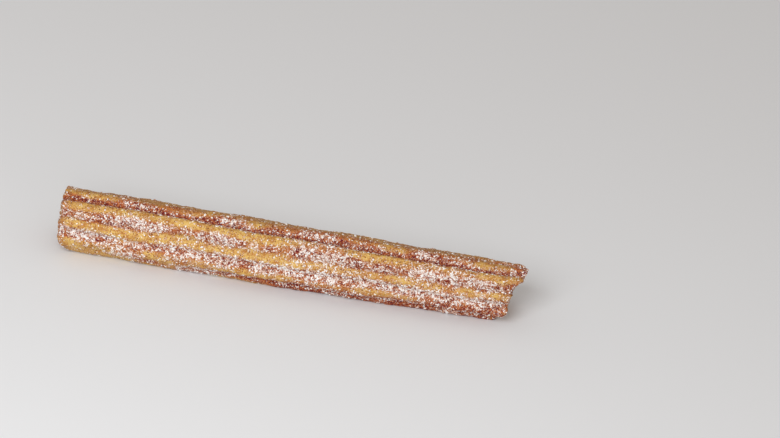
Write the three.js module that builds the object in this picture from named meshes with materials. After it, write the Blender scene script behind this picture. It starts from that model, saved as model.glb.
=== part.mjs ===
// A churro: one straight stick of fried dough, pressed through a star nozzle, cut to length and fried.
// Millimetres, +Z up. The stick lies along X on the plane Z = 0 with its front facing -Y,
// and the origin is the middle of the base of its bounding box.
import * as THREE from "three";
import { mergeVertices } from "three/addons/utils/BufferGeometryUtils.js";

// Driving dimensions.
const LENGTH = 254; // from the left face to the tip of the long side
const LEFT_RADIUS = 17; // over the ridge crests
const RIGHT_RADIUS = 16;
const RIDGES = 10;
const GROOVE_DEPTH = 2.6;
const UNDERSIDE_FLAT = 2; // how much lower the axis lies than the radius, which presses the crests flat

// Section. Angles are in degrees round the stick: 0 faces -Y, 90 faces +Z.
const FIRST_CREST = 95; // at the left end
const TWIST = -6; // from the left end to the right
const CREST_WIDENING = 1.5; // over 1 makes the ridges wider than the grooves
const UNDERSIDE_TURN = 24; // how far the crests underneath lag, so that the stick rests on two of them
const RIDGE_WANDER = 1.3; // how far a ridge strays sideways along the stick
const CREST_SWELL = 0.3; // how much a crest rises and falls along the stick
const GROOVE_SWELL = 0.22; // the share by which a groove deepens and shallows along the stick
const BODY_SWELL = 0.7; // how far the middle is thicker than a straight taper
const SPINE_BOW = 2; // how far the middle bows to the front

// Two grooves are partly closed: the one below the front at the left end, and the one on top.
const CLOSED_GROOVES = [
  { angle: -31, flat: 0, reach: 24, closed: 0.8, from: 0.16, to: 0.5 },
  { angle: 113, flat: 0, reach: 24, closed: 0.9, from: 0.8, to: 1 },
];

// Ends. The right end was cut long on top, both were cut short underneath, and the ridges stand
// proud of the grooves between them.
const LONG_TIP = { angle: 95, flat: 16, reach: 62, length: 8.5 };
const LEFT_SHORT = { angle: -70, flat: 0, reach: 62, length: 9 };
const RIGHT_SHORT = { angle: -70, flat: 0, reach: 76, length: 8 };
const RIDGE_PROUD = 0.7; // by what share of its depth a groove is cut shorter than the ridges
const RIM_ROUNDING = 1.2;
const END_BULGE = 0.8;
const CUT_REACH = 9; // the power by which the shape of a cut dies away along the stick
const SCALLOP_REACH = 5; // the power by which the grooves die away towards the middle of an end face

// Facets.
const STEPS_PER_RIDGE = 10;
const STEPS_ALONG = 30;
const RIM_STEPS = 3;
const FACE_RINGS = [0, 0.4, 0.72];

const DOUGH = new THREE.MeshStandardMaterial({ color: 0xc6986a, roughness: 0.85, metalness: 0 });

const PITCH = 360 / RIDGES;
const TRUNK = LENGTH - LONG_TIP.length - END_BULGE;
const { degToRad, radToDeg, lerp, smoothstep } = THREE.MathUtils;

// 1 over the flat middle of a patch, easing to 0 at its reach on either side.
function patch(angle, { angle: centre, flat, reach }) {
  const away = Math.abs(((angle - centre + 540) % 360) - 180);
  return 1 - smoothstep(away, flat, reach);
}

// How deep the section is cut at this angle: 0 on a crest, 1 in a groove, both rounded.
function valley(angle) {
  const turns = (angle - FIRST_CREST) / PITCH;
  const offCrest = 2 * Math.abs(turns - Math.round(turns));
  return 0.5 - 0.5 * Math.cos(Math.PI * offCrest ** CREST_WIDENING);
}

// A slow wave along the stick, different on every ridge, from -1 to 1.
function wave(angle, share, waves, phase) {
  const round = degToRad(angle);
  const along = 2 * Math.PI * waves * share;
  return Math.sin(along + phase + 3 * Math.sin(round) + 2 * Math.cos(round));
}

// How far the section at this angle lags behind even spacing: more and more down the front until
// it is underneath, and less and less up the back.
function lag(angle) {
  const way = ((FIRST_CREST - angle + 720) % 360) / 180;
  return UNDERSIDE_TURN * (way < 1 ? way ** 4 : 1 - smoothstep(way, 1, 2));
}

// The angle at which the surface drawn for this even angle really lies.
function turned(angle, share) {
  const wander = RIDGE_WANDER * wave(angle, share, 2.6, 0.4);
  return angle + TWIST * share - lag(angle) + wander;
}

// The radius over the crests at this share of the length.
function bodyRadius(share) {
  return lerp(LEFT_RADIUS, RIGHT_RADIUS, share) + BODY_SWELL * Math.sin(Math.PI * share);
}

// How far below the crests the section runs at this angle and share of the length.
function grooveDepth(angle, share) {
  let depth = GROOVE_DEPTH * (1 + GROOVE_SWELL * wave(angle, share, 3.1, 4.2)) * valley(angle);
  for (const groove of CLOSED_GROOVES) {
    const open = smoothstep(share, groove.from, groove.to);
    depth *= 1 - groove.closed * (1 - open) * patch(angle, groove);
  }
  return depth;
}

// How far the surface at this angle is moved along the stick by the two cuts.
function cutShift(angle, share, scallop) {
  const left = LEFT_SHORT.length * patch(angle, LEFT_SHORT) + scallop;
  const long = LONG_TIP.length * patch(angle, LONG_TIP);
  const right = long - RIGHT_SHORT.length * patch(angle, RIGHT_SHORT) - scallop;
  return left * (1 - share) ** CUT_REACH + right * share ** CUT_REACH;
}

// The point at this angle and share of the length. A point on an end face is inside the surface:
// out is its share of the radius there, and is 1 everywhere else.
function pointOn(angle, share, out) {
  const crest = bodyRadius(share) + CREST_SWELL * wave(angle, share, 4.3, 1.9);
  const depth = out ** SCALLOP_REACH * grooveDepth(angle, share);
  const reach = out * (crest - depth);
  const shift = out ** 2 * cutShift(angle, share, RIDGE_PROUD * depth);
  const bulge = (share < 0.5 ? -END_BULGE : END_BULGE) * (1 - out ** 2);
  const way = degToRad(turned(angle, share));
  return new THREE.Vector3(
    TRUNK * (share - 0.5) + shift + bulge,
    -SPINE_BOW * Math.sin(Math.PI * share) - reach * Math.cos(way),
    Math.max(0, bodyRadius(share) - UNDERSIDE_FLAT + reach * Math.sin(way)),
  );
}

// The lathe's profile: x is the share of the radius and y the distance from the left end.
// It starts on the axis at one end, rounds both rims and comes back to the axis at the other.
function halfProfile() {
  const face = FACE_RINGS.map((out) => new THREE.Vector2(out, 0));
  const rim = [];
  for (let i = 0; i <= RIM_STEPS; i++) {
    const turn = (Math.PI / 2) * (i / RIM_STEPS);
    const inset = (RIM_ROUNDING * (1 - Math.sin(turn))) / RIGHT_RADIUS;
    rim.push(new THREE.Vector2(1 - inset, RIM_ROUNDING * (1 - Math.cos(turn))));
  }
  return [...face, ...rim];
}

function profile() {
  const left = halfProfile();
  const right = left.map(({ x, y }) => new THREE.Vector2(x, TRUNK - y)).reverse();
  const side = [];
  for (let i = 1; i < STEPS_ALONG; i++) {
    side.push(new THREE.Vector2(1, lerp(RIM_ROUNDING, TRUNK - RIM_ROUNDING, i / STEPS_ALONG)));
  }
  return [...left, ...side, ...right];
}

// The stick is a lathe turned with a share of the radius as its outline, whose every point is then
// put where the star section has it.
function stickGeometry() {
  const lathe = new THREE.LatheGeometry(profile().reverse(), RIDGES * STEPS_PER_RIDGE);
  lathe.deleteAttribute("normal");
  lathe.deleteAttribute("uv");
  const places = lathe.getAttribute("position");
  for (let i = 0; i < places.count; i++) {
    const [across, along, up] = [places.getX(i), places.getY(i), places.getZ(i)];
    const angle = FIRST_CREST + radToDeg(Math.atan2(across, up));
    const point = pointOn(angle, along / TRUNK, Math.hypot(across, up));
    places.setXYZ(i, point.x, point.y, point.z);
  }
  const solid = mergeVertices(lathe, 1e-4);
  solid.computeBoundingBox();
  const middle = solid.boundingBox.getCenter(new THREE.Vector3());
  solid.translate(-middle.x, -middle.y, 0);
  solid.computeVertexNormals();
  return solid;
}

const churro = new THREE.Group();
const stick = new THREE.Mesh(stickGeometry(), DOUGH);
stick.name = "churro_stick";
churro.add(stick);

export default churro;
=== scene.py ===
import bpy
import numpy as np
from mathutils import Matrix, Vector


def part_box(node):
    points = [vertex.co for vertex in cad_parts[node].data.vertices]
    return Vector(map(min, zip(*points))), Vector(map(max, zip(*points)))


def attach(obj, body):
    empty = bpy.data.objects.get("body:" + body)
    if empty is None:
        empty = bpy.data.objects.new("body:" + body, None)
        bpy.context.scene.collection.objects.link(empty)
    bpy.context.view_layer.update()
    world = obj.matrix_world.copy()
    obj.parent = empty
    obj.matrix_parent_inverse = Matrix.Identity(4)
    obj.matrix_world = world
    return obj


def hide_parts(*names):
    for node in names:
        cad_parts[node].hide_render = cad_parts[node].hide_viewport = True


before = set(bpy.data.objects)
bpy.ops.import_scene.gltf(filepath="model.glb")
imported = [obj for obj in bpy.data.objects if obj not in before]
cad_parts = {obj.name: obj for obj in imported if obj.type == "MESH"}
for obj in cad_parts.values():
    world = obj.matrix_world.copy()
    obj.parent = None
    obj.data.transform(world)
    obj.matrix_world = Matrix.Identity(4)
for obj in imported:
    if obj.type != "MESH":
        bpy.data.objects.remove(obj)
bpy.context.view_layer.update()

# ---------------------------------------------------------------------------------------------------
# The stick. Wheat dough pressed through a star nozzle, cut off by hand and fried until its crust is
# gold on the ridges and brown where it was cut. It was rolled in cinnamon sugar while it was still
# oily, and the finest of that clings to the crust as a film, thickest in the grooves.

MM = 0.001
low, high = (np.array(corner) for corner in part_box("churro_stick"))
left_radius, right_radius = 17 * MM, 16 * MM  # over the ridge crests
body_swell = 0.7 * MM  # how much thicker the middle is than a straight taper
spine_bow = 2 * MM  # how far the middle bows to the front
underside_flat = 2 * MM  # how far the crests underneath are pressed flat
end_bulge = 0.8 * MM
rim_rounding = 1.2 * MM

# The star section. Angles are in degrees round the stick: 0 faces -Y and 90 faces +Z.
ridges = 10
ridge_pitch = 360 / ridges
first_crest = 95
twist = -6  # from the left end to the right
underside_turn = 24  # how far the crests underneath lag
ridge_wander = 1.3
crest_swell = 0.3 * MM
depth_of_grooves = 2.6 * MM
groove_swell = 0.22

# The cuts: how far each is slanted, and by what share of its depth a groove is cut shorter.
long_tip = 8.5 * MM
left_short = 9 * MM
right_short = 8 * MM
ridge_proud = 0.7
trunk = 254 * MM - long_tip - end_bulge


def ease(value, start, end):
    """0 before the start and 1 after the end, with 3t^2 - 2t^3 between them."""
    share = np.clip((value - start) / (end - start), 0, 1)
    return share * share * (3 - 2 * share)


def patch(angle, centre, flat, reach):
    """1 within `flat` degrees of the centre, easing to 0 at `reach` degrees to either side of it."""
    away = np.abs((angle - centre + 540) % 360 - 180)
    return 1 - ease(away, flat, reach)


def valley(angle):
    """0 on a crest and 1 in a groove: half of 1 - cos(pi t), where t is the share of the way from the
    crest to the groove, raised to 1.5 so that the ridges are wider than the grooves."""
    turns = (angle - first_crest) / ridge_pitch
    off_crest = 2 * np.abs(turns - np.round(turns))
    return 0.5 - 0.5 * np.cos(np.pi * off_crest**1.5)


def wave(angle, share, waves, phase):
    """A sine along the stick whose phase slides round it, so that every ridge has its own."""
    around = np.radians(angle)
    return np.sin(2 * np.pi * waves * share + phase + 3 * np.sin(around) + 2 * np.cos(around))


def body_radius(share):
    """A straight taper plus a half sine, which thickens the middle."""
    return left_radius + (right_radius - left_radius) * share + body_swell * np.sin(np.pi * share)


def groove_depth(angle, share):
    """The valley's depth, swelling along the stick. The groove below the front closes to the left,
    and the one on top is closed until near the right end."""
    below = 1 - 0.8 * (1 - ease(share, 0.16, 0.5)) * patch(angle, -31, 0, 24)
    on_top = 1 - 0.9 * (1 - ease(share, 0.8, 1)) * patch(angle, 113, 0, 24)
    swell = 1 + groove_swell * wave(angle, share, 3.1, 4.2)
    return depth_of_grooves * swell * below * on_top * valley(angle)


def cut_shift(angle, share, scallop):
    """How far the cuts move the surface along the stick: eased patches and the grooves' scallops,
    dying away from each end as the ninth power of the share of the length."""
    left = left_short * patch(angle, -70, 0, 62) + scallop
    right = long_tip * patch(angle, 95, 16, 62) - right_short * patch(angle, -70, 0, 76) - scallop
    return left * (1 - share) ** 9 + right * share**9


def true_angle(angle, share):
    """Where the section drawn at an even angle really lies: it twists evenly and wanders, and the
    ridges lag towards the underside by a fourth power, which leaves the stick lying on two of them."""
    way = (first_crest - angle) % 360 / 180
    lag = underside_turn * np.where(way < 1, way**4, 1 - ease(way, 1, 2))
    return angle + twist * share - lag + ridge_wander * wave(angle, share, 2.6, 0.4)


def on_stick(angle, share, out):
    """The point at this angle and share of the length, at `out` times the star section's radius.
    Out is under 1 only on the end faces, where the grooves die away towards the middle."""
    crest = body_radius(share) + crest_swell * wave(angle, share, 4.3, 1.9)
    depth = out**5 * groove_depth(angle, share)
    reach = out * (crest - depth)
    bulge = np.where(share < 0.5, -end_bulge, end_bulge) * (1 - out**2)
    way = np.radians(true_angle(angle, share))
    return np.stack(
        [
            trunk * (share - 0.5) + out**2 * cut_shift(angle, share, ridge_proud * depth) + bulge,
            -spine_bow * np.sin(np.pi * share) - reach * np.cos(way),
            body_radius(share) - underside_flat + reach * np.sin(way),
        ],
        axis=-1,
    )


# The fixed heights that all the noise looks up.
random_heights = np.random.default_rng(11).random(8192)


def height_at(corner, seed):
    """One fixed random number from 0 to 1 for every whole-number corner, picked by a hash."""
    mixed = corner[..., 0] * 73856093 ^ corner[..., 1] * 19349663 ^ corner[..., 2] * 83492791
    return random_heights[(mixed + seed * 7919) % random_heights.size]


def bumps(points, size, seed):
    """Value noise from -1 to 1: random heights on a lattice `size` apart, blended between its eight
    nearest corners by the eased share of the way between them."""
    scaled = points / size
    corner = np.floor(scaled).astype(np.int64)
    part_way = ease(scaled - corner, 0, 1)
    total = np.zeros(points.shape[:-1])
    for step in np.ndindex(2, 2, 2):
        weight = np.prod(np.where(np.array(step) == 1, part_way, 1 - part_way), axis=-1)
        total += weight * height_at(corner + np.array(step), seed)
    return 2 * total - 1


def blisters(points, size, seed):
    """Round domes from 0 to 1: every lattice cell holds one at a random place and of a random height,
    and a dome falls as 1 - (distance / radius)^2, with a radius of 0.6 cells."""
    scaled = points / size
    cell = np.floor(scaled).astype(np.int64)
    top = np.zeros(points.shape[:-1])
    for step in np.ndindex(3, 3, 3):
        near = cell + np.array(step) - 1
        middle = near + np.stack([height_at(near, seed + k) for k in (1, 2, 3)], axis=-1)
        away = np.sum((scaled - middle) ** 2, axis=-1) / 0.6**2
        top = np.maximum(top, np.clip(1 - away, 0, 1) * height_at(near, seed + 4))
    return top


def across(grid):
    """Unit normals of a grid of points that closes on itself from the last column to the first: the
    cross product of the steps along the rows and along the columns."""
    along = np.gradient(grid, axis=0)
    around = np.roll(grid, -1, axis=1) - np.roll(grid, 1, axis=1)
    normal = np.cross(around, along)
    return normal / np.maximum(np.linalg.norm(normal, axis=-1, keepdims=True), 1e-12)


# Rows run from the middle of the left face, over its rim, along the side and back to the middle of
# the right face. Columns run round the stick.
face_rows, rim_rows, side_rows, columns = 22, 4, 392, 216
rim_turn = np.linspace(0, np.pi / 2, rim_rows + 1)
rim_out = 1 - rim_rounding * (1 - np.sin(rim_turn)) / right_radius
rim_in = rim_rounding * (1 - np.cos(rim_turn)) / trunk
face_out = np.linspace(0, rim_out[0], face_rows + 1)[1:-1]
row_out = np.concatenate([face_out, rim_out])
row_share = np.concatenate([np.zeros(face_rows - 1), rim_in])
side_share = np.linspace(rim_in[-1], 1 - rim_in[-1], side_rows + 1)[1:-1]
row_out = np.concatenate([row_out, np.ones(side_rows - 1), row_out[::-1]])
row_share = np.concatenate([row_share, side_share, 1 - row_share[::-1]])
column_angle = np.arange(columns) * 360 / columns
share, angle = np.meshgrid(row_share, column_angle, indexing="ij")
out = np.broadcast_to(row_out[:, None], share.shape)

smooth = on_stick(angle, share, out)
outward = across(smooth)
on_face = 1 - ease(out, 0.86, 0.99)
near_end = ease(np.abs(share - 0.5), 0.47, 0.5)
# Relief in millimetres: waves, lumps, grain, blisters and pits in the crust, and the torn end faces.
crust = (
    0.24 * bumps(smooth, 7 * MM, 1)
    + 0.20 * bumps(smooth, 3.1 * MM, 2)
    + 0.16 * bumps(smooth, 1.4 * MM, 3)
    + 0.34 * blisters(smooth, 3.4 * MM, 4)
    - 0.28 * blisters(smooth, 2.6 * MM, 12)
)
torn = (
    0.75 * bumps(smooth, 4.5 * MM, 21)
    + 0.45 * bumps(smooth, 2 * MM, 22)
    - 0.8 * blisters(smooth, 3 * MM, 23)
)
relief = crust * (1 + 0.9 * near_end) + on_face * torn
skin = smooth + outward * (relief * MM)[..., None]
poles = np.array([skin[0].mean(axis=0), skin[-1].mean(axis=0)])
box_low, box_high = skin.min(axis=(0, 1)), skin.max(axis=(0, 1))
centring = (low + high - box_low - box_high) / 2 * [1, 1, 0]
skin = skin + centring
poles = poles + centring
skin[..., 2] = np.maximum(skin[..., 2], 0)

# Where the toppings lie, from 0 to 1 at every point of the grid. Sugar settles in drifts in the
# grooves, in clumps with bare brown crust between them. Cinnamon lies with it in stains, thinly along
# the low front, and thick along the lower right side. In the groove on top and on the ridge above it,
# thick cinnamon and little sugar are partly cinnamon and partly painted shade, which darkens them.
on_side = 1 - on_face
groove = groove_depth(angle, share) / depth_of_grooves
in_groove = 0.5 * ease(groove, 0, 0.4) + 0.5 * ease(groove, 0.2, 0.9)
drift = 0.5 + 0.5 * bumps(smooth * [1, 2.2, 2.2], 17 * MM, 31)
streak = 0.5 + 0.5 * bumps(smooth * [1, 1.6, 1.6], 5 * MM, 32)
stain = 0.5 + 0.5 * bumps(smooth * [1, 1.8, 1.8], 9 * MM, 36)
clump = bumps(smooth, 2 * MM, 34) + bumps(smooth, 1.2 * MM, 35)

# Partly cinnamon and partly painted shade: these darken the groove on top and the ridge above it.
top_groove_cinnamon_and_shade = patch(angle, 76, 1, 9) * on_side
top_ridge_cinnamon_and_shade = patch(angle, 91, 7, 18) * on_side
bare_top = patch(angle, 84, 12, 26) * (1 - ease(share, 0.08, 0.18)) * on_side
pale_low = patch(angle, -40, 14, 34) * (1 - ease(share, 0.08, 0.2)) * on_side
low_front = patch(angle, -32, 12, 30) * ease(share, 0.08, 0.2) * on_side
low_right = patch(angle, -58, 28, 50) * ease(share, 0.36, 0.6) * on_side
low_end = patch(angle, -18, 8, 20) * ease(share, 0.77, 0.88) * on_side

# Handfuls of sugar that lie over groove and ridge alike. Each has its share of the length, its angle,
# half its length as such a share and half its width in degrees.
spilled = np.zeros(share.shape)
for spill_share, spill_angle, half_length, half_width in (
    (0.16, 86, 0.05, 7),
    (0.375, 86, 0.04, 8),
    (0.56, 86, 0.05, 7),
    (0.83, 84, 0.08, 11),
    (0.16, 43, 0.08, 13),
    (0.34, 40, 0.05, 10),
    (0.57, 44, 0.10, 18),
    (0.86, 44, 0.13, 18),
    (0.06, 3, 0.07, 11),
    (0.27, 1, 0.06, 14),
    (0.355, 1, 0.055, 13),
    (0.47, 0, 0.05, 12),
    (0.60, 5, 0.12, 18),
    (0.84, 6, 0.16, 18),
    (0.92, 3, 0.08, 12),
    (0.14, -14, 0.06, 14),
    (0.31, -44, 0.05, 15),
    (0.62, -48, 0.04, 11),
    (0.88, -45, 0.06, 11),
    (0.22, 165, 0.07, 12),
    (0.52, 152, 0.06, 13),
    (0.71, 187, 0.09, 12),
    (0.38, 206, 0.07, 13),
    (0.90, 150, 0.06, 12),
    (0.10, 220, 0.06, 12),
):
    reach_along = np.clip(1 - ((share - spill_share) / half_length) ** 2, 0, 1)
    spilled = np.maximum(spilled, reach_along * patch(angle, spill_angle, 0, 2 * half_width))

sugar = in_groove * (0.1 + 0.75 * drift) * (0.6 + 0.5 * streak) + 0.75 * spilled
sugar = sugar * (1 - 0.75 * top_groove_cinnamon_and_shade) * (1 - 0.35 * low_right) + 0.14 * streak + 0.2 * near_end
sugar = np.clip(sugar, 0, 1) * (1 - 0.6 * on_face) * (1 - 0.7 * bare_top)
clumped = ease(clump + 0.3 * sugar, -0.55, 0.75)

# Cinnamon, and painted shade where it darkens the groove on top and the ridge above it.
cinnamon = (
    in_groove * (0.1 + stain)
    + 0.9 * low_right
    + 0.6 * low_end
    + 0.5 * spilled
    + top_groove_cinnamon_and_shade
    + 0.6 * (1 - bare_top) * top_ridge_cinnamon_and_shade * stain
    + 0.4 * low_front * streak
    + 0.4 * (stain - 0.35)
    + 0.2 * near_end
)
cinnamon = np.clip(cinnamon * (1 - 0.7 * pale_low), 0, 1)

# Browner at the cut ends, where the crust fried longer; darker along the back and top as painted shade.
browned_and_shade = 0.72 * patch(angle, 116, 12, 45) * (1 - 0.7 * bare_top) + 0.5 * near_end + 0.15 * on_face
browned_and_shade = np.clip(browned_and_shade + 0.35 * bumps(smooth, 24 * MM, 33), 0, 1)


def make_piece(name, vertices, *face_sets):
    """One mesh object at the origin from arrays of faces, each array with its own number of corners."""
    mesh = bpy.data.meshes.new(name)
    corners = np.concatenate([faces.ravel() for faces in face_sets])
    sizes = np.concatenate([np.full(len(faces), faces.shape[1]) for faces in face_sets])
    mesh.vertices.add(len(vertices))
    mesh.vertices.foreach_set("co", np.asarray(vertices, np.float32).ravel())
    mesh.loops.add(len(corners))
    mesh.loops.foreach_set("vertex_index", corners.astype(np.int32))
    mesh.polygons.add(len(sizes))
    mesh.polygons.foreach_set("loop_start", (np.cumsum(sizes) - sizes).astype(np.int32))
    mesh.update(calc_edges=True)
    mesh.validate()
    piece = bpy.data.objects.new(name, mesh)
    bpy.context.scene.collection.objects.link(piece)
    return piece


def give_values(piece, name, values):
    """Stores one number for each vertex under a name that the material reads."""
    layer = piece.data.attributes.new(name, "FLOAT", "POINT")
    layer.data.foreach_set("value", np.asarray(values, np.float32).ravel())


def give_map(piece, places):
    """Lays the faces out flat for a texture, one place for each face corner."""
    layer = piece.data.uv_layers.new(name="OFBake")
    layer.data.foreach_set("uv", np.asarray(places, np.float32).ravel())


# Four-sided faces between the rows, and a fan of triangles round the middle of each end face.
rows = len(row_share)
row, column = np.meshgrid(np.arange(rows - 1), np.arange(columns), indexing="ij")
row, column = row.ravel(), column.ravel()
following = (column + 1) % columns
this_row, next_row = row * columns, (row + 1) * columns
sides = np.stack(
    [this_row + column, this_row + following, next_row + following, next_row + column], axis=-1
)
spoke = np.arange(columns)
next_spoke = (spoke + 1) % columns
left_pole, right_pole = rows * columns, rows * columns + 1
left_fan = np.stack([np.full(columns, left_pole), next_spoke, spoke], axis=-1)
last_row = (rows - 1) * columns
right_fan = np.stack([np.full(columns, right_pole), last_row + spoke, last_row + next_spoke], axis=-1)
stick_points = np.concatenate([skin.reshape(-1, 3), poles])
stick = make_piece("dough_stick", stick_points, sides, left_fan, right_fan)
stick.data.shade_smooth()

for value_name, values in (("sugar", sugar), ("cinnamon", cinnamon), ("browned_and_shade", browned_and_shade)):
    at_poles = [values[0].mean(), values[-1].mean()]
    give_values(stick, value_name, np.concatenate([values.ravel(), at_poles]))

# The map runs along the stick one way and round it the other. The fans are its first and last strip.
row_place = np.arange(rows + 2) / (rows + 1)
near_side, far_side = row_place[row + 1], row_place[row + 2]
side_map = np.stack(
    [
        np.stack([near_side, near_side, far_side, far_side], axis=-1),
        np.stack([column, column + 1, column + 1, column], axis=-1) / columns,
    ],
    axis=-1,
)
left_map = np.stack(
    [
        np.broadcast_to(row_place[[0, 1, 1]], (columns, 3)),
        np.stack([spoke + 0.5, spoke + 1, spoke], axis=-1) / columns,
    ],
    axis=-1,
)
right_map = np.stack(
    [
        np.broadcast_to(row_place[[-1, -2, -2]], (columns, 3)),
        np.stack([spoke + 0.5, spoke, spoke + 1], axis=-1) / columns,
    ],
    axis=-1,
)
give_map(stick, np.concatenate([places.reshape(-1, 2) for places in (side_map, left_map, right_map)]))


def paint(red, green, blue):
    """A colour given as it looks on a screen, from 0 to 255, as the values that a shader takes."""
    screen = np.array([red, green, blue]) / 255
    light = np.where(screen <= 0.04045, screen / 12.92, ((screen + 0.055) / 1.055) ** 2.4)
    return (*light, 1.0)


def put(tree, kind, inputs=None, **settings):
    """Adds a node. Inputs go by socket name or number: an output is linked, anything else is set."""
    node = tree.nodes.new(kind)
    for key, value in settings.items():
        setattr(node, key, value)
    for key, value in (inputs or {}).items():
        if isinstance(value, bpy.types.NodeSocket):
            tree.links.new(value, node.inputs[key])
        else:
            node.inputs[key].default_value = value
    return node


def work_out(tree, operation, first, second):
    """One step of arithmetic on two numbers."""
    return put(tree, "ShaderNodeMath", {0: first, 1: second}, operation=operation).outputs[0]


def plus(tree, first, second):
    """The two added."""
    return work_out(tree, "ADD", first, second)


def times(tree, first, second):
    """The two multiplied."""
    return work_out(tree, "MULTIPLY", first, second)


def blend(tree, amount, under, over):
    """One colour over another."""
    node = put(tree, "ShaderNodeMix", {0: amount, 6: under, 7: over}, data_type="RGBA")
    return node.outputs[2]


def between(tree, value, start, end):
    """0 at the start and 1 at the end, eased."""
    inputs = {"Value": value, "From Min": start, "From Max": end}
    return put(tree, "ShaderNodeMapRange", inputs, interpolation_type="SMOOTHSTEP").outputs[0]


def own_value(tree, name):
    """The number that the mesh carries under this name."""
    return put(tree, "ShaderNodeAttribute", attribute_name=name).outputs["Fac"]


def noise(tree, size, detail=2.0):
    """Cloudy noise from 0 to 1, `size` across, fixed to the piece."""
    place = put(tree, "ShaderNodeTexCoord").outputs["Object"]
    inputs = {"Vector": place, "Scale": 1 / size, "Detail": detail}
    return put(tree, "ShaderNodeTexNoise", inputs).outputs[0]


def make_grains_group():
    """A layer of loose grains of one size: each cell of a Voronoi pattern holds a round grain if its
    random number is under the cover."""
    group = bpy.data.node_groups.new("clinging grains", "ShaderNodeTree")
    group.interface.new_socket("Size", in_out="INPUT", socket_type="NodeSocketFloat")
    group.interface.new_socket("Cover", in_out="INPUT", socket_type="NodeSocketFloat")
    group.interface.new_socket("Mask", in_out="OUTPUT", socket_type="NodeSocketFloat")
    given = group.nodes.new("NodeGroupInput")
    result = group.nodes.new("NodeGroupOutput")
    place = put(group, "ShaderNodeTexCoord").outputs["Object"]
    scale = work_out(group, "DIVIDE", 1.0, given.outputs["Size"])
    cells = put(group, "ShaderNodeTexVoronoi", {"Vector": place, "Scale": scale})
    chance = put(group, "ShaderNodeSeparateColor", {0: cells.outputs["Color"]}).outputs[0]
    held = work_out(group, "LESS_THAN", chance, given.outputs["Cover"])
    round_off = between(group, cells.outputs["Distance"], 0.62, 0.38)
    group.links.new(times(group, held, round_off), result.inputs["Mask"])
    return group


grains_group = make_grains_group()


def grains(tree, size, cover):
    """The mask of a layer of clinging grains."""
    inputs = {"Size": size, "Cover": cover}
    return put(tree, "ShaderNodeGroup", inputs, node_tree=grains_group).outputs[0]


def new_material(name, **sockets):
    """A material with its Principled shader, whose constant sockets are set here."""
    material = bpy.data.materials.new(name)
    material.use_nodes = True
    shader = material.node_tree.nodes["Principled BSDF"]
    for socket_name, value in sockets.items():
        shader.inputs[socket_name.replace("_", " ")].default_value = value
    return material, material.node_tree, shader


def make_dough_material():
    """Gold crust, mottled and speckled, browner where it fried longer and darker along the back and top
    as painted shade, under a film of cinnamon and the finest sugar, which also paints shade into the
    top groove."""
    material, tree, shader = new_material("fried_dough", Specular_IOR_Level=0.2)
    fine = noise(tree, 0.9 * MM, 4.0)
    middling = noise(tree, 3.5 * MM, 3.0)

    mottle = between(tree, plus(tree, times(tree, fine, 0.6), times(tree, middling, 0.4)), 0.4, 0.62)
    gold = blend(tree, mottle, paint(176, 118, 54), paint(218, 183, 106))
    # Brown at the cut ends is fried crust; along the back and top it is painted shade.
    brown_and_shade_amount = times(tree, plus(tree, own_value(tree, "browned_and_shade"), plus(tree, fine, -0.62)), 0.8)
    crust_colour = blend(tree, brown_and_shade_amount, gold, paint(140, 84, 50))

    # The film is light brown where it is thin and dark red where it is thick.
    # In the groove on top and on the top ridge, the thick dark film is partly painted shade.
    cinnamon_and_shade_here = own_value(tree, "cinnamon")
    thickness = plus(tree, times(tree, between(tree, cinnamon_and_shade_here, 0.45, 1.0), 0.72), 0.28)
    uneven = times(tree, between(tree, noise(tree, 1.2 * MM, 3.0), 0.42, 0.6), thickness)
    film_colour = blend(tree, uneven, paint(180, 104, 58), paint(110, 18, 32))
    film = between(tree, plus(tree, cinnamon_and_shade_here, plus(tree, fine, -0.65)), 0.0, 0.6)
    filmed = blend(tree, film, crust_colour, film_colour)

    specks = grains(tree, 0.62 * MM, plus(tree, times(tree, cinnamon_and_shade_here, 0.35), 0.06))
    speckled = blend(tree, specks, filmed, paint(106, 34, 24))
    dust = grains(tree, 0.5 * MM, plus(tree, times(tree, own_value(tree, "sugar"), 0.3), 0.04))
    dusted = blend(tree, times(tree, dust, 0.85), speckled, paint(236, 214, 196))
    tree.links.new(dusted, shader.inputs["Base Color"])

    roughness = plus(tree, plus(tree, times(tree, middling, 0.25), 0.45), times(tree, dust, 0.2))
    tree.links.new(roughness, shader.inputs["Roughness"])
    grain_height = plus(tree, times(tree, dust, 0.5), times(tree, specks, 0.3))
    height = plus(tree, times(tree, fine, 0.7), grain_height)
    bump = put(tree, "ShaderNodeBump", {"Height": height, "Distance": 0.45 * MM, "Strength": 0.9})
    tree.links.new(bump.outputs[0], shader.inputs["Normal"])
    return material


stick.data.materials.append(make_dough_material())
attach(stick, "root")
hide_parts("churro_stick")

# ---------------------------------------------------------------------------------------------------
# The sugar. White granulated sugar that stuck to the oily crust, half sunk in the film: coarse
# crystals and finer broken ones, thick in the grooves and thin on the crests.

rubbed_off_below = 0.7 * MM


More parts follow.
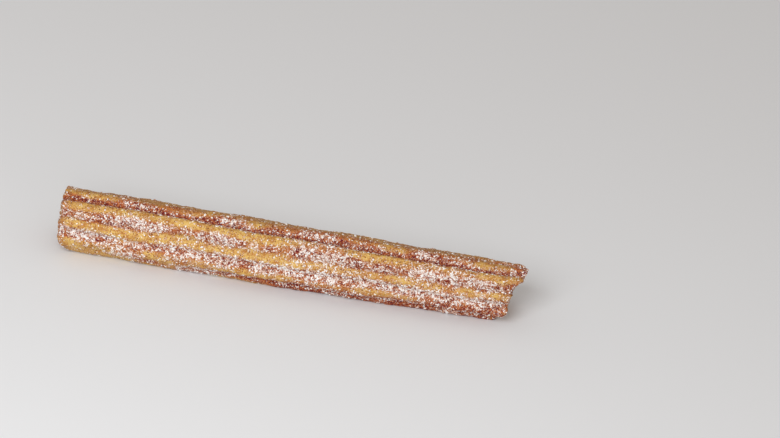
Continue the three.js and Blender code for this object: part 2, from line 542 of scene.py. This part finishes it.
def settle(count, density, seed):
    """Random places on the stick, as likely as the density times the area of each cell of the grid,
    with the crust's normal there. A place is blended from its cell's four corners. Places low enough
    to be rubbed off by what the stick lies on are left out."""
    rng = np.random.default_rng(seed)
    ahead = np.roll(skin, -1, axis=1)
    diagonals = np.cross(ahead[1:] - skin[:-1], skin[1:] - ahead[:-1])
    here = (density[1:] + density[:-1]) / 2
    chance = np.cumsum((np.linalg.norm(diagonals, axis=-1) * here).ravel())
    picked = np.searchsorted(chance, rng.random(count) * chance[-1])
    i, j = np.unravel_index(np.minimum(picked, chance.size - 1), here.shape)
    after = (j + 1) % columns
    u, v = rng.random((2, count, 1))
    normals = across(skin)
    mixed = [
        (1 - u) * ((1 - v) * grid[i, j] + v * grid[i, after])
        + u * ((1 - v) * grid[i + 1, j] + v * grid[i + 1, after])
        for grid in (skin, normals)
    ]
    place, normal = mixed
    clear = place[:, 2] > rubbed_off_below
    normal = normal / np.linalg.norm(normal, axis=-1, keepdims=True)
    return place[clear], normal[clear]


def random_turns(count, rng):
    """Evenly random rotation matrices, from normalised random quaternions."""
    quaternions = rng.normal(size=(count, 4))
    w, x, y, z = (quaternions / np.linalg.norm(quaternions, axis=1, keepdims=True)).T
    turns = np.empty((count, 3, 3))
    turns[:, 0] = np.stack([1 - 2 * (y * y + z * z), 2 * (x * y - w * z), 2 * (x * z + w * y)], axis=-1)
    turns[:, 1] = np.stack([2 * (x * y + w * z), 1 - 2 * (x * x + z * z), 2 * (y * z - w * x)], axis=-1)
    turns[:, 2] = np.stack([2 * (x * z - w * y), 2 * (y * z + w * x), 1 - 2 * (x * x + y * y)], axis=-1)
    return turns


def scatter(name, places, normals, corners, faces, sizes, proportions, proud, seed):
    """Copies of one small shape, from the smallest size to the largest and most of them small. Each is
    stretched by about the proportions, bent a little, turned at random and set so that its middle
    stands `proud` half-sizes out of the crust."""
    rng = np.random.default_rng(seed)
    count = len(places)
    half_size = (sizes[0] + (sizes[1] - sizes[0]) * rng.random(count) ** 2) / 2
    stretch = np.array(proportions) * rng.uniform(0.75, 1.25, (count, 3))
    uneven = corners * (1 + rng.uniform(-0.18, 0.18, (count, *corners.shape)))
    shaped = uneven * stretch[:, None] * half_size[:, None, None]
    turned = np.einsum("nij,nkj->nki", random_turns(count, rng), shaped)
    seated = places + normals * (proud * half_size)[:, None]
    vertices = turned + seated[:, None]
    vertices[..., 2] = np.maximum(vertices[..., 2], 0)
    starts = np.arange(count) * len(corners)
    all_faces = (faces[None] + starts[:, None, None]).reshape(-1, faces.shape[1])
    piece = make_piece(name, vertices.reshape(-1, 3), all_faces)
    give_values(piece, "tint", np.repeat(rng.random(count), len(corners)))
    lay_in_cells(piece, count, faces)
    return piece


def lay_in_cells(piece, count, faces):
    """Gives every copy its own square cell of the map and every face its own part of the cell: the
    faces stand side by side in a block as wide as it is high, with a margin round each."""
    per_row = int(np.ceil(np.sqrt(count)))
    block = int(np.ceil(np.sqrt(len(faces))))
    face = np.arange(len(faces))
    outline = {3: [(0, 0), (1, 0), (0, 1)], 4: [(0, 0), (1, 0), (1, 1), (0, 1)]}[faces.shape[1]]
    inside = 0.1 + 0.8 * np.array(outline)
    face_spot = np.stack([face % block, face // block], axis=-1)
    in_cell = (face_spot[:, None] + inside[None]) / block
    copy = np.arange(count)
    cell = np.stack([copy % per_row, copy // per_row], axis=-1)
    give_map(piece, (cell[:, None, None] + in_cell[None]) / per_row)


# A crystal is a slightly slanted block. Its sides are listed so that they face outwards.
ends = (-1, 1)
block_corners = np.array([(x + 0.25 * z, y, z) for z in ends for y in ends for x in ends])
block_faces = np.array(
    [(0, 2, 3, 1), (4, 5, 7, 6), (0, 1, 5, 4), (2, 6, 7, 3), (0, 4, 6, 2), (1, 3, 7, 5)]
)
# A shard is two four-sided pyramids, base to base.
shard_corners = np.array([(1, 0, 0), (0, 1, 0), (-1, 0, 0), (0, -1, 0), (0, 0, 1), (0, 0, -1)], float)
shard_faces = np.array(
    [(0, 1, 4), (1, 2, 4), (2, 3, 4), (3, 0, 4), (1, 0, 5), (2, 1, 5), (3, 2, 5), (0, 3, 5)]
)


def make_sugar_material(name, clean, stained_colour):
    """Clear crystals that scatter white, half of them stained by the oil and the cinnamon on them."""
    material, tree, shader = new_material(name, Roughness=0.32, IOR=1.54)
    stained = blend(tree, between(tree, own_value(tree, "tint"), 0.5, 0.85), clean, stained_colour)
    cloudy = noise(tree, 0.5 * MM)
    veined = blend(tree, times(tree, cloudy, 0.2), stained, paint(238, 220, 208))
    tree.links.new(veined, shader.inputs["Base Color"])
    return material


coarse_sugar = scatter(
    "sugar_coarse",
    *settle(count=15800, density=sugar**1.2 * clumped + 0.012, seed=41),
    block_corners,
    block_faces,
    sizes=(0.7 * MM, 1.5 * MM),
    proportions=(0.9, 0.66, 0.5),
    proud=0.45,
    seed=42,
)
fine_sugar = scatter(
    "sugar_fine",
    *settle(count=22500, density=sugar * (0.2 + clumped) + 0.10, seed=43),
    shard_corners,
    shard_faces,
    sizes=(0.45 * MM, 0.9 * MM),
    proportions=(1.0, 0.85, 0.7),
    proud=0.3,
    seed=44,
)
coarse_sugar.data.materials.append(
    make_sugar_material("coarse_sugar", paint(246, 246, 245), paint(204, 156, 134))
)
fine_sugar.data.materials.append(
    make_sugar_material("fine_sugar", paint(240, 228, 208), paint(206, 152, 112))
)
for piece in (coarse_sugar, fine_sugar):
    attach(piece, "root")

# ---------------------------------------------------------------------------------------------------
# The cinnamon. Ground bark in small flat splinters, red brown, caught with the sugar and alone in
# the top groove and along the lower right side. Those in the top groove are partly painted shade.


def make_cinnamon_material():
    """Matt bark, each splinter lighter or darker than the next."""
    material, tree, shader = new_material("cinnamon", Roughness=0.85, Specular_IOR_Level=0.25)
    tint = own_value(tree, "tint")
    bark = blend(tree, tint, paint(90, 24, 24), paint(162, 82, 52))
    fibre = noise(tree, 0.3 * MM)
    fibrous = blend(tree, times(tree, fibre, 0.4), bark, paint(92, 42, 30))
    tree.links.new(fibrous, shader.inputs["Base Color"])
    return material


cinnamon_grains = scatter(
    "cinnamon_grains",
    *settle(count=23500, density=cinnamon**1.3 * (1.2 - clumped) + 0.08, seed=51),
    shard_corners,
    shard_faces,
    sizes=(0.4 * MM, 0.95 * MM),
    proportions=(1.0, 0.7, 0.5),
    proud=0.3,
    seed=52,
)
cinnamon_grains.data.materials.append(make_cinnamon_material())
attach(cinnamon_grains, "root")

# ---------------------------------------------------------------------------------------------------
# The crumbs. Bits of crust that broke off where the stick was cut, stuck round both ends and here and
# there along the stick. Each is an uneven ball of twenty faces.

# Twelve corners, on three golden rectangles at right angles, all about 1 from the middle.
golden = (1 + 5**0.5) / 2
crumb_corners = np.array([(0, a, b * golden) for a in (-1, 1) for b in (-1, 1)], float)
crumb_corners = np.concatenate([np.roll(crumb_corners, turn, axis=1) for turn in range(3)]) / 1.9


def hull_faces(corners):
    """The triangles between corners that are all one shortest edge apart, turned to face outwards."""
    apart = np.linalg.norm(corners[:, None] - corners[None], axis=-1)
    joined = (apart > 0) & (apart < 1.01 * apart[apart > 0].min())
    every_way_round = np.argwhere(joined[:, :, None] & joined[:, None] & joined[None])
    faces = every_way_round[(np.diff(every_way_round) > 0).all(axis=1)]
    a, b, c = corners[faces].swapaxes(0, 1)
    inward = np.sum(np.cross(b - a, c - a) * a, axis=-1) < 0
    faces[inward] = faces[inward][:, [0, 2, 1]]
    return faces


def make_crumb_material():
    """Broken crust, pale inside and brown outside, with a few grains of cinnamon on it."""
    material, tree, shader = new_material("crumb", Roughness=0.8, Specular_IOR_Level=0.3)
    toasted = blend(tree, own_value(tree, "tint"), paint(208, 160, 96), paint(140, 84, 48))
    patchy = times(tree, noise(tree, 0.8 * MM), 0.5)
    mottled = blend(tree, patchy, toasted, paint(120, 66, 40))
    dotted = blend(tree, grains(tree, 0.5 * MM, 0.2), mottled, paint(98, 36, 28))
    tree.links.new(dotted, shader.inputs["Base Color"])
    return material


crumbs = scatter(
    "crumbs",
    *settle(count=380, density=0.03 + near_end * on_side + 0.15 * on_face, seed=61),
    crumb_corners,
    hull_faces(crumb_corners),
    sizes=(0.8 * MM, 1.9 * MM),
    proportions=(1.0, 0.8, 0.6),
    proud=0.3,
    seed=62,
)
crumbs.data.materials.append(make_crumb_material())
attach(crumbs, "root")

# ---------------------------------------------------------------------------------------------------
# The floor, the lights and the camera. A pale floor, two large soft lamps on the viewer's side and
# an even, faintly warm sky. The long lens looks down at 30 degrees, straight across the stick, and
# the camera is rolled, so that the stick slopes down to the right.

floor_half = 3.0
floor_drop = 0.02 * MM  # keeps it just clear of the underside
floor_corners = floor_half * np.array([(-1, -1, 0), (1, -1, 0), (1, 1, 0), (-1, 1, 0)])
floor = make_piece("floor", floor_corners - [0, 0, floor_drop], np.array([[0, 1, 2, 3]]))
floor_material, _, floor_shader = new_material("floor", Roughness=0.7)
floor_shader.inputs["Base Color"].default_value = paint(230, 234, 238)
floor.data.materials.append(floor_material)

bpy.context.scene.view_settings.view_transform = "Standard"
sky = bpy.data.worlds.new("sky")
sky.use_nodes = True
sky.node_tree.nodes["Background"].inputs["Color"].default_value = paint(252, 242, 234)
sky.node_tree.nodes["Background"].inputs["Strength"].default_value = 0.5
bpy.context.scene.world = sky


def soft_light(name, place, target, side, power):
    """A square lamp turned to face its target."""
    lamp = bpy.data.lights.new(name, "AREA")
    lamp.size = side
    lamp.energy = power
    light = bpy.data.objects.new(name, lamp)
    light.location = place
    light.rotation_euler = (Vector(target) - Vector(place)).to_track_quat("-Z", "Y").to_euler()
    bpy.context.scene.collection.objects.link(light)


centre = (low + high) / 2
soft_light("key", place=(-0.35, -1.1, 0.85), target=centre, side=0.7, power=13.2)
soft_light("fill", place=(0.25, -1.3, 0.2), target=centre, side=0.9, power=3.0)

elevation = np.radians(30)
roll = np.radians(9.4)
distance = 3.0
stick_share = 0.6026  # of the view's width
aim_right, aim_up = 0.1262, 0.0443  # from the stick's middle, as shares of the view's width
sensor_width = 36
view_width = (high[0] - low[0]) / stick_share
toward = Vector((0, np.cos(elevation), -np.sin(elevation)))
level_up = Vector((0, np.sin(elevation), np.cos(elevation)))
level_right = Vector((1, 0, 0))
right = level_right * np.cos(roll) + level_up * np.sin(roll)
up = level_up * np.cos(roll) - level_right * np.sin(roll)
aim = Vector(centre) + right * (aim_right * view_width) + up * (aim_up * view_width)
eye = bpy.data.cameras.new("camera")
eye.sensor_width = sensor_width
eye.lens = sensor_width * distance / view_width
camera = bpy.data.objects.new("camera", eye)
turn = Matrix((right, up, -toward)).transposed()
camera.matrix_world = Matrix.Translation(aim - toward * distance) @ turn.to_4x4()
bpy.context.scene.collection.objects.link(camera)
bpy.context.scene.camera = camera
